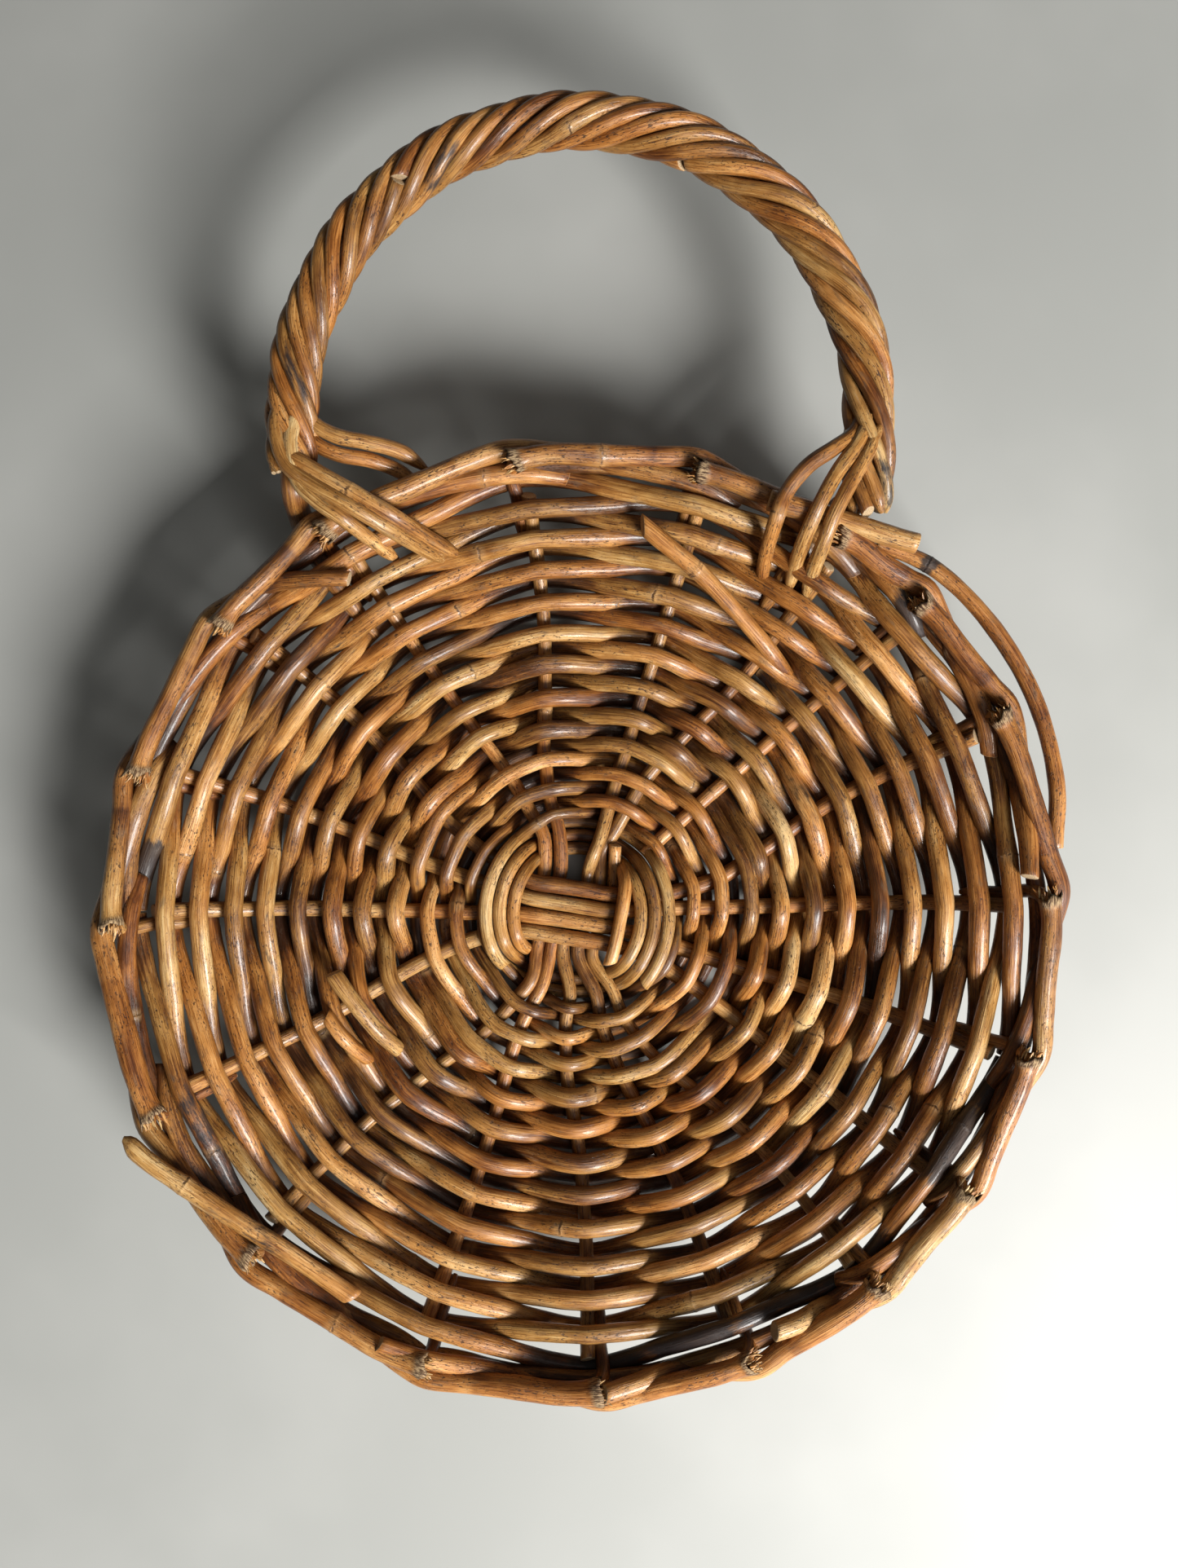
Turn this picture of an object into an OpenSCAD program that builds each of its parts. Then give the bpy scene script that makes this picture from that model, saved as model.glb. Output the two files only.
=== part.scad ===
/* [Spokes] */
// Diameter of the spokes, which are also the rods of the cross
stick_d = 6; // [4.5:0.1:7.5]
// Length of the straight middle of the rods of the cross, from the centre
cross_half = 19; // [17:0.5:24]
// Turn of the cross in the basket, in degrees
cross_turn = -8.8; // [-15:0.1:15]
// Radius at which a rod of the cross has come down to the level of the spokes
join_r = 38; // [34:0.5:46]
// Length of the stub that was cut short, past its bend
stub_past = 10; // [4:0.5:14]

/* [Weave] */
// Diameter of the weaving canes
cane_d = 7.5; // [5:0.1:9]
// Distance from one round to the next, along the spokes
round_pitch = 14.5; // [12:0.1:18]
// Radius of the first round
first_round_r = 42; // [40:0.5:52]
// Number of rounds that lie flat, which are the foot
flat_rounds = 3; // [2:1:4]
// Slope of the dish at the rim, in degrees
rim_slope = 38; // [20:1:46]
// Diameter of the cane that binds the cross
binding_d = 5; // [3.5:0.1:6]
// Radius of the innermost turn of the binding
binding_r = 23; // [21:0.5:26]
// Depth of the flat that wear has left on the foot rounds
foot_flat = 0.3; // [0.2:0.05:0.6]

/* [Border] */
// Diameter of a side stake where it lies in the weave
stake_d = 5.8; // [4.5:0.1:7]
// Diameter of the same rod where it runs round the rim
border_d = 8.8; // [6.5:0.1:10.5]
// Height of a knuckle above the edge of the weave
knuckle_rise = 11.1; // [9:0.1:16]
// How far a knuckle stands out past the edge of the weave
knuckle_out = 5; // [3:0.1:8]
// How far a border rod has dropped where it passes the next stake
border_drop = 6.6; // [5:0.1:9]

/* [Handle] */
// Radius of the loop of the handle, to the middle of the rope
handle_r = 115.8; // [90:0.5:140]
// Straight length of the handle from the loop to the border
handle_leg = 30; // [20:1:60]
// Length of the bow that is bare between the rope and the border
bare_bow = 6.5; // [6:0.1:12]
// Upward tilt of the handle, in degrees
handle_tilt = 6; // [0:1:12]
// Diameter of the bow inside the rope
bow_d = 9.6; // [7:0.1:11]
// Outer diameter of the rope
rope_d = 20.6; // [17:0.1:24]
// Diameter of the rope's strands where they lash the foot
lashing_d = 5; // [4:0.1:6]

/* [Clearances] */
// Gap between a cane and the spoke that it crosses
weave_gap = 0.1; // [0.05:0.05:0.4]
// Gap between rods that lie side by side
side_gap = 0.3; // [0.1:0.05:0.8]
// Gap between the bow and the rope around it
rope_gap = 0.15; // [0.05:0.05:0.5]
// Gap between a lashing and the rods that it passes
lashing_gap = 0.5; // [0.2:0.1:1.5]
// Height of the binding above the surface that the basket stands on
floor_gap = 0.1; // [0.05:0.05:0.5]

/* [Hidden] */
$fn = 48;
rounds = 11;
bands = 4;
rounds_per_band = 2;
binding_turns = 3;
cross_rods = 4;
upright_rods = 5;
// The two ends of each rod of the cross, as directions in degrees from +X
cross_ends = [[139, 25], [160, 2], [179, 342], [203, 324]];
upright_ends = [[224, 122], [249, 97], [271, 74], [290, 55]];
// The cut-off rod has only a lower end, and an extra stick stands in for its other spoke
stub_end = 308;
inserted_end = 42;
// All the spokes in order, turning clockwise as seen from above
spokes = [139, 122, 97, 74, 55, 42, 25, 2, 342, 324, 308, 290, 271, 249, 224, 203, 179, 160];
stakes = len(spokes);
// The spokes beside which the two ends of the bow go in, left and right
foot_spokes = [122, 55];

// A joint ball is a little larger than its rod, so that their surfaces cross
ball_extra = 0.3;
// How far a band's slope lags behind an even increase
slope_power = 1.25;

// Heights and spacings of the cross
spoke_z = cane_d + stick_d / 2 + weave_gap - foot_flat;
cross_mid_z = stick_d + weave_gap * 1.5 + ball_extra / 2 + binding_d + floor_gap;
over_z = cross_mid_z + (stick_d + weave_gap) / 2;
under_z = cross_mid_z - (stick_d + weave_gap) / 2;
rod_pitch = stick_d + 3 * side_gap;
binding_pitch = binding_d + side_gap;

// The dish: a flat middle, then straight bands that grow steeper towards the rim
flat_r = first_round_r + (flat_rounds - 0.5) * round_pitch;
band_length = rounds_per_band * round_pitch;
edge_s = flat_r + bands * band_length;
spoke_end_s = edge_s - 3;

function slope(k) = rim_slope * pow(k / bands, slope_power);
function band_at(s) = s < flat_r ? 0 : min(bands, 1 + floor((s - flat_r) / band_length));
// Radius and height of the spokes' middle line where band k begins and ends
function knot(k) =
    k == 0 ? [flat_r, spoke_z] : knot(k - 1) + band_length * [cos(slope(k)), sin(slope(k))];
function knot_s(k) = flat_r + k * band_length;
// The same for any length s along a spoke
function on_dish(s) =
    s < flat_r
        ? [s, spoke_z]
        : let (k = band_at(s)) knot(k - 1) + (s - knot_s(k - 1)) * [cos(slope(k)), sin(slope(k))];
// A point at height h above the spokes' middle line, square to the dish
function above(s, h) = let (a = slope(band_at(s))) on_dish(s) + h * [-sin(a), cos(a)];

// A point given along a spoke, to its anticlockwise side, and in height
function at_spoke(angle, along, side, z) =
    [along * cos(angle) - side * sin(angle), along * sin(angle) + side * cos(angle), z];
// The same, given by its distance from the middle of the basket
function at_radius(angle, r, side, z) = at_spoke(angle, sqrt(r * r - side * side), side, z);
function dish_point(angle, s, side) = let (p = on_dish(s)) at_radius(angle, p[0], side, p[1]);
function polar(r, angle, z) = [r * cos(angle), r * sin(angle), z];
function turned(p) = at_spoke(cross_turn, p[0], p[1], p[2]);
function reversed(list) = [for (i = [len(list) - 1:-1:0]) list[i]];

// The arm of a spoke, from the cross to its cut end at the rim
function arm(angle) = concat(
    [polar(join_r, angle, spoke_z)],
    [for (k = [0:bands - 1]) dish_point(angle, knot_s(k), 0)],
    [dish_point(angle, spoke_end_s, 0)]
);

// One straight round stretch of a rod
module stretch_of_rod(p, q, d) {
    v = q - p;
    translate(p)
        rotate([0, acos(v[2] / norm(v)), atan2(v[1], v[0])])
            cylinder(h = norm(v), d = d);
}

function unit(v) = v / norm(v);

// The ball at a bend from p over q to r, with its poles square to both stretches
module bend_ball(p, q, r, d) {
    into = unit(q - p);
    out = unit(r - q);
    x = unit(into - out);
    z = unit(cross(into, out));
    y = cross(z, x);
    multmatrix([
        [x[0], y[0], z[0], q[0]],
        [x[1], y[1], z[1], q[1]],
        [x[2], y[2], z[2], q[2]],
        [0, 0, 0, 1]
    ])
        sphere(d = d);
}

// A rod through a list of points, with flat cut ends
module rod(points, d) {
    for (i = [0:len(points) - 2]) {
        stretch_of_rod(points[i], points[i + 1], d);
    }
    for (i = [1:len(points) - 2]) {
        bend_ball(points[i - 1], points[i], points[i + 1], d + ball_extra);
    }
}

// A plain hoop of cane at a radius and height
module hoop(place, d) {
    rotate_extrude() translate(place) circle(d = d);
}

// A rod of the upper layer of the cross, counted from the top of the plan
module cross_rod(n) {
    y = ((cross_rods + 1) / 2 - n) * rod_pitch;
    middle = [turned([-cross_half, y, over_z]), turned([cross_half, y, over_z])];
    ends = cross_ends[n - 1];
    color("peru") rod(concat(reversed(arm(ends[0])), middle, arm(ends[1])), stick_d);
}

// A rod of the lower layer of the cross, counted from the left
module upright_rod(n) {
    x = (n - (upright_rods + 1) / 2) * rod_pitch;
    middle = [turned([x, -cross_half, under_z]), turned([x, cross_half, under_z])];
    ends = upright_ends[n - 1];
    color("burlywood") rod(concat(reversed(arm(ends[0])), middle, arm(ends[1])), stick_d);
}

// Where a rod bends that goes round its left neighbour's bend, one pitch away from it all the
// way; the neighbour's way out of the cross leads up the plan (1) or down it (-1)
function beside(neighbour, way, up) =
    let (middle_side = turned([1, 0, 0]), arm_side = up * unit([way[1], -way[0], 0]))
        neighbour + rod_pitch * (middle_side + arm_side) / (1 + middle_side * arm_side);

// The last rod of the lower layer, whose upper arm was cut off short
module stub_rod() {
    x = (upright_rods - 3) / 2 * rod_pitch;
    ends = upright_ends[upright_rods - 2];
    low = turned([x, -cross_half, under_z]);
    high = turned([x, cross_half, under_z]);
    low_way = unit(polar(join_r, ends[0], spoke_z) - low);
    high_way = unit(polar(join_r, ends[1], spoke_z) - high);
    high_bend = beside(high, high_way, 1);
    points = [beside(low, low_way, -1), high_bend, high_bend + stub_past * high_way];
    color("burlywood") rod(concat(reversed(arm(stub_end)), points), stick_d);
}

// The extra stick that stands in for the missing arm
module inserted_stick() {
    color("burlywood") rod(arm(inserted_end), stick_d);
}

// The thin cane that binds the cross: three close turns over it and three under it
module cross_binding() {
    away = (stick_d + ball_extra + binding_d) / 2 + weave_gap;
    over = over_z + away;
    under = under_z - away;
    color("sandybrown")
        for (turn = [0:binding_turns - 1]) {
            hoop([binding_r + turn * binding_pitch, over], binding_d);
            hoop([binding_r + turn * binding_pitch, under], binding_d);
        }
}

// One round of the weave: a cane above the spokes and its partner below them
module weave_round(n) {
    s = first_round_r + (n - 1) * round_pitch;
    half = (stick_d + cane_d) / 2 + weave_gap;
    lower = above(s, -half);
    color("goldenrod") {
        hoop(above(s, half), cane_d);
        difference() {
            hoop(lower, cane_d);
            // The flat that the basket stands on
            if (n <= flat_rounds) {
                translate([0, 0, -cane_d]) cylinder(h = cane_d, r = flat_r + cane_d);
            }
        }
    }
}

// Where the rods of the rim stand
stake_side = (stick_d + stake_d) / 2 + side_gap;
knuckle_r = on_dish(edge_s)[0] + knuckle_out;
knuckle_z = on_dish(edge_s)[1] + knuckle_rise;
passing_z = knuckle_z - border_drop;
passing_r = knuckle_r + sqrt(pow(border_d + ball_extra + side_gap, 2) - pow(border_drop, 2));
rim_r = passing_r + border_d / 2;
function knuckle_angle(n) = spokes[n] + asin(stake_side / knuckle_r);

// A side stake: in beside its spoke, up the edge, over the knuckle and round the rim
module side_stake(n) {
    own = n - 1;
    next = n % stakes;
    knuckle = polar(knuckle_r, knuckle_angle(own), knuckle_z);
    passing = polar(passing_r, knuckle_angle(next), passing_z);
    in_weave = concat(
        [for (k = [bands - 2:bands - 1]) dish_point(spokes[own], knot_s(k), stake_side)],
        [dish_point(spokes[own], edge_s, stake_side)]
    );
    color("sienna") {
        rod(concat(in_weave, [knuckle]), stake_d);
        stretch_of_rod(knuckle, passing, border_d);
        translate(knuckle) sphere(d = border_d + ball_extra);
    }
}

// The straight legs of the handle stop just outside the border
rope_end_y = sqrt(pow(rim_r + 2 * lashing_gap, 2) - pow(handle_r - rope_d / 2, 2));
leg_z = passing_z + border_d / 2;

// The handle's own frame: the loop's centre, with the loop lying in its X-Y plane
module in_handle() {
    translate([0, rope_end_y, leg_z])
        rotate([handle_tilt, 0, 0])
            translate([0, handle_leg, 0])
                children();
}

// Half a loop of round section with two straight legs
module bow_shape(d, leg) {
    rotate_extrude(angle = 180) translate([handle_r, 0]) circle(d = d);
    for (x = [-handle_r, handle_r]) {
        translate([x, 0, 0]) rotate([90, 0, 0]) cylinder(h = leg, d = d + ball_extra);
        translate([x, 0, 0]) sphere(d = d + 2 * ball_extra);
    }
}

// Where an end of the bow dives under the border and into the weave beside its stake
tail_side = stake_side + stake_d + side_gap;
dive_z = passing_z - (border_d + bow_d) / 2 - side_gap;

function tail(angle) = [
    at_spoke(angle, rim_r + bow_d / 2 - 1, tail_side - 2.4, dive_z),
    at_spoke(angle, knuckle_r + 1, tail_side, dive_z)
];
function tail_in_weave(angle) = [
    at_spoke(angle, knuckle_r + 1, tail_side, dive_z),
    dish_point(angle, edge_s - 3, tail_side),
    dish_point(angle, knot_s(bands - 1), tail_side),
    dish_point(angle, knot_s(bands - 1) - round_pitch, tail_side)
];

// The bow: the loop, its legs, and the pointed ends in the weave
module handle_bow() {
    color("saddlebrown") {
        in_handle() bow_shape(bow_d, handle_leg);
        for (side = [0, 1]) {
            leg_x = side == 0 ? -handle_r : handle_r;
            leg_end = [leg_x, rope_end_y, leg_z];
            rod(concat([leg_end], tail(foot_spokes[side])), bow_d);
            translate(leg_end) sphere(d = bow_d + 2 * ball_extra);
            rod(tail_in_weave(foot_spokes[side]), stake_d);
        }
    }
}

// The rope of strands twisted round the bow, as one closed sleeve
module handle_wrap() {
    hollow_d = bow_d + 2 * ball_extra + 2 * rope_gap;
    color("darkgoldenrod")
        in_handle()
            difference() {
                bow_shape(rope_d, handle_leg - bare_bow);
                bow_shape(hollow_d, handle_leg + 1);
            }
}

// The lashings of the left and right foot: where each starts across the leg, and where it
// ends, to the anticlockwise side of the foot's spoke
lashings = [
    [[8.6, 1], [0.5, 9], [-7, 17]],
    [[-8, 17], [-0.5, 8.5], [7, 0]]
];

// A strand of the rope that passes over the border and tucks into the weave
module lashing(side, n) {
    leg_x = side == 0 ? -handle_r : handle_r;
    angle = foot_spokes[side];
    start_x = lashings[side][n - 1][0];
    end_side = lashings[side][n - 1][1];
    top_z = knuckle_z + (border_d + lashing_d) / 2 + lashing_gap;
    weave_h = stick_d / 2 + cane_d + weave_gap + lashing_d / 2 + lashing_gap;
    inner = above(edge_s - round_pitch / 2, weave_h);
    tuck = above(edge_s - round_pitch * 1.5, weave_h);
    start_y = rope_end_y + bare_bow - lashing_gap - rope_d / 2 * sin(handle_tilt);
    color("orange")
        rod([
            [leg_x + start_x, start_y, top_z - lashing_gap],
            [leg_x + start_x * 0.96, start_y - lashing_d, top_z],
            at_radius(angle, knuckle_r - border_d / 2, end_side * 0.7, top_z),
            at_radius(angle, inner[0], end_side * 0.9, inner[1]),
            at_radius(angle, tuck[0], end_side, tuck[1])
        ], lashing_d);
}

for (n = [1:cross_rods]) cross_rod(n);
for (n = [1:upright_rods - 1]) upright_rod(n);
stub_rod();
inserted_stick();
cross_binding();
for (n = [1:rounds]) weave_round(n);
for (n = [1:stakes]) side_stake(n);
handle_bow();
handle_wrap();
for (n = [1:3]) lashing(0, n);
for (n = [1:3]) lashing(1, n);
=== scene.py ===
"""A woven cane dish with a twisted rope handle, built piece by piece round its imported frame.

Sizes are in millimetres until a mesh is made, and angles are in degrees from +X.
"""
import math
import random

import bpy
import numpy as np
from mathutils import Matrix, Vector


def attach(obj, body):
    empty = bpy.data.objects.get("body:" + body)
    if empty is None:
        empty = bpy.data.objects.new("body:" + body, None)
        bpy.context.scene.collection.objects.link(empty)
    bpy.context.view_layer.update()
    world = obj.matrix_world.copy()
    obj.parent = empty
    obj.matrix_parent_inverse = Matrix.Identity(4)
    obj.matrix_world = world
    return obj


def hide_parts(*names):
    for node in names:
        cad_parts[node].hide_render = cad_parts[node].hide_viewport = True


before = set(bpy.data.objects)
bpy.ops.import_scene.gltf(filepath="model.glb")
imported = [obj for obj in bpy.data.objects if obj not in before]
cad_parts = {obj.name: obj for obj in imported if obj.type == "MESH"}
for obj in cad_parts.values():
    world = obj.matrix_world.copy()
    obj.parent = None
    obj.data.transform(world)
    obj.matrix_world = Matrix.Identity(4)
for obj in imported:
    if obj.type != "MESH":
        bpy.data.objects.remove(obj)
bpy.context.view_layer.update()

MM = 0.001

# The spokes in order, clockwise as seen from above
SPOKES = [139, 122, 97, 74, 55, 42, 25, 2, 342, 324, 308, 290, 271, 249, 224, 203, 179, 160]
CROSS_ENDS = [(139, 25), (160, 2), (179, 342), (203, 324)]
UPRIGHT_ENDS = [(224, 122), (249, 97), (271, 74), (290, 55)]
STUB_END = 308
EXTRA_END = 42
# How far each spoke stands off its place at the rim, in degrees, where it leaves the cross,
# the length along it where it starts to swing over, and how far that takes
LEAN = {139: 10, 122: -5, 97: 9, 74: 1, 55: 11, 42: 0, 25: -14, 2: -1, 342: -3, 324: 2,
        308: -17, 290: -10, 271: -9, 249: -7, 224: 10, 203: -8, 179: 2, 160: 4}
LEAN_FROM = 42
LEAN_REACH = 50
# Which spokes the first rounds take together
PAIRS = [(160, 139), (122, 97), (74, 55), (42,), (25, 2), (342, 324), (308, 290), (271,),
         (249, 224), (203, 179)]
PAIRED_STRANDS = 6

# The cross: its sticks, half its width, its turn and the place of its middle
STICK_R = 3.0
CROSS_HALF = 19
CROSS_TURN = -8.8
CROSS_CENTRE = (-5.0, -0.7)
# Where each upright stick passes the cross, at its lower and its upper edge
UPRIGHT_X = [(-12.2, -14.5), (-5.9, -7.3), (-0.8, 5.5), (6.4, 10.6), (13.2, 17.4)]
JOIN_R = 38
ROD_PITCH = 7.4
CROSS_STICK_R = 3.45
OVER_Z = 14.45
UNDER_Z = 8.35
SPOKE_Z = 10.3

# The cane that ties the cross: its radius, where it starts, and the degrees it goes round
TIE_R = 2.8
TIE_START = 221
TIE_SWEEP = 985
TIE_INNER_R = 24.0
TIE_GROWTH = 6.15

# The weave: the distance between rounds, and the dish that they follow
PITCH = 14.5
# The canes of the first rounds: how far out each lies, and its radius
INNER_STRANDS = [[(43.8, 2.7), (49.8, 2.85)], [(55.9, 3.05), (62.1, 3.2)],
                 [(68.5, 3.35), (75.1, 3.5)]]
OUTER_S = 82.0
ROUNDS = 11
OUTERMOST_S = OUTER_S + (2 * (ROUNDS - len(INNER_STRANDS)) - 1) * PITCH / 2
FLAT_R = 78.25
BAND = 29
BANDS_TO_RIM = 4
SLOPE_POWER = 1.25
RIM_SLOPE = 38
EDGE_S = 194.25
DISH_STEP = 0.5
DISH_STEPS = 500

# The side stakes and the border that they make
STAKE_SIDE = 6.2
STAKE_R = 2.9
KNUCKLE_R = 188.7
KNUCKLE_Z = 63.6
PASSING_R = 195.4
PASSING_Z = 57.0
BORDER_R = 4.4

# The handle: a half circle on two straight legs, tilted up, with a core and a rope round it
HANDLE_R = 115.8
LEG = 30
HANDLE_TILT = 6
ROPE_END_Y = 170.9
LEG_Z = 61.4
CORE_R = 4.8
STRAND_R = 2.95
STRAND_OUT = 7.5
STRANDS = 7
FEET = [122, 55]
TAIL_SIDE = 12.3
DIVE_Z = 47.5

# Where a cane's joints may come, and a distance that counts as far from any joint
FIRST_JOINT = (10, 420)
JOINT_GAP = (240, 520)
NO_JOINT = 60.0
# The closing rings of an end, each a share of its width and a rise: rounded, or hollow if torn
ROUNDED_END = [(0.93, 0.22), (0.55, 0.3), (0.0, 0.3)]
TORN_END = [(0.82, -1.2), (0.5, -3.4), (0.0, -4.0)]
# Painted shade: how much darker a cane is made where it dips below the spokes, how deep that
# takes, and out to where
PAINTED_SHADE = 0.30
PAINTED_SHADE_DEPTH = 5
PAINTED_SHADE_R = 192

# The studio, in metres and watts: place, size, power and colour of each light
LIGHTS = {
    "window": ((0.86, -0.92, 1.08), 0.61, 59, (1.0, 0.985, 0.96)),
    "ceiling": ((0.5, -0.3, 1.8), 1.2, 2.5, (0.97, 0.98, 1.0)),
}
LIT_PLACE = (0.10, -0.08, 0.03)
CAMERA_PLACE = (0.0034, 0.0565, 0.535)
CAMERA_LENS = 26.9
CAMERA_FILM = 36
ROOM_COLOUR = (1.0, 1.0, 0.92, 1)
ROOM_LIGHT = 0.055
TABLE_WIDTH = 6


# ---------------------------------------------------------------- the dish

def slope_at(s):
    """The slope of the dish at a length s along a spoke, in radians."""
    share = max(0.0, (s - FLAT_R) / BAND + 0.5) / BANDS_TO_RIM
    return math.radians(RIM_SLOPE * share ** SLOPE_POWER)


def dish_table():
    """Length, radius, height and slope at each step along the spokes' middle line."""
    r, z = 0.0, SPOKE_Z
    rows = []
    for i in range(DISH_STEPS):
        s = i * DISH_STEP
        rows.append((s, r, z, slope_at(s)))
        a = slope_at(s + DISH_STEP / 2)
        r += DISH_STEP * math.cos(a)
        z += DISH_STEP * math.sin(a)
    return np.array(rows)


DISH = dish_table()


def above(s, h):
    """Radius and height of the point h above the spokes' middle line."""
    r, z, a = (np.interp(s, DISH[:, 0], DISH[:, i]) for i in (1, 2, 3))
    return r - h * np.sin(a), z + h * np.cos(a)


def polar(r, angle, z):
    """A point from its distance to the middle, its direction and its height."""
    a = math.radians(angle)
    return [r * math.cos(a), r * math.sin(a), z]


def at_spoke(angle, along, side, z):
    """A point given along a spoke, to its anticlockwise side, and in height."""
    a = math.radians(angle)
    return [along * math.cos(a) - side * math.sin(a),
            along * math.sin(a) + side * math.cos(a), z]


def dish_point(angle, s, side=0.0, h=0.0):
    """A point at a length along the dish, to the side of a spoke and above it."""
    r, z = above(s, h)
    return at_spoke(angle, math.sqrt(r * r - side * side), side, z)


def on_weave(x, y, h):
    """A point at a height above the spokes' middle line."""
    return [x, y, float(np.interp(math.hypot(x, y), DISH[:, 1], DISH[:, 2])) + h]


def spoke_angle(angle, s):
    """The direction of a spoke at a length along it."""
    return angle + LEAN[angle] * math.exp(-(max(0.0, s - LEAN_FROM) / LEAN_REACH) ** 2)


def turned(x, y, z):
    """A point of the cross, which lies a little off the middle and turned."""
    p = at_spoke(CROSS_TURN, x, y, z)
    return [p[0] + CROSS_CENTRE[0], p[1] + CROSS_CENTRE[1], z]


def clockwise(a, b):
    """Degrees turned clockwise from a to b."""
    return (a - b) % 360


# ---------------------------------------------------------------- paths

def lengths(path):
    """The length along a path at each of its points."""
    steps = np.linalg.norm(np.diff(path, axis=0), axis=1)
    return np.concatenate([[0], np.cumsum(steps)])


def flowing(points, fineness=24):
    """A smooth path through a few points."""
    p = np.array(points, float)
    p = np.vstack([2 * p[0] - p[1], p, 2 * p[-1] - p[-2]])
    out = []
    for i in range(1, len(p) - 2):
        a, b, c, d = p[i - 1:i + 3]
        t0 = 0.0
        t1 = t0 + np.linalg.norm(b - a) ** 0.5
        t2 = t1 + np.linalg.norm(c - b) ** 0.5
        t3 = t2 + np.linalg.norm(d - c) ** 0.5
        t = np.linspace(t1, t2, fineness, endpoint=False)[:, None]
        ab = (t1 - t) / (t1 - t0) * a + (t - t0) / (t1 - t0) * b
        bc = (t2 - t) / (t2 - t1) * b + (t - t1) / (t2 - t1) * c
        cd = (t3 - t) / (t3 - t2) * c + (t - t2) / (t3 - t2) * d
        abc = (t2 - t) / (t2 - t0) * ab + (t - t0) / (t2 - t0) * bc
        bcd = (t3 - t) / (t3 - t1) * bc + (t - t1) / (t3 - t1) * cd
        out.append((t2 - t) / (t2 - t1) * abc + (t - t1) / (t2 - t1) * bcd)
    out.append(p[-2][None])
    return np.vstack(out)


def at_lengths(path, wanted):
    """The points at the wanted lengths along a path."""
    along = lengths(path)
    return np.stack([np.interp(wanted, along, path[:, i]) for i in range(3)], 1)


def softened(path, times=2):
    """The same path with its corners eased."""
    p = path.copy()
    for _ in range(times):
        p[1:-1] = (p[:-2] + 2 * p[1:-1] + p[2:]) / 4
    return p


def carried_frames(path):
    """Tangents and two square directions that turn as little as they can along the path."""
    t = np.gradient(path, axis=0)
    t /= np.linalg.norm(t, axis=1)[:, None]
    n = np.zeros_like(t)
    start = np.array([0.0, 0, 1]) if abs(t[0][2]) < 0.9 else np.array([1.0, 0, 0])
    n[0] = start - t[0] * np.dot(start, t[0])
    n[0] /= np.linalg.norm(n[0])
    for i in range(1, len(t)):
        v = n[i - 1] - t[i] * np.dot(n[i - 1], t[i])
        n[i] = v / np.linalg.norm(v)
    return t, n, np.cross(t, n)


# ---------------------------------------------------------------- canes

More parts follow.
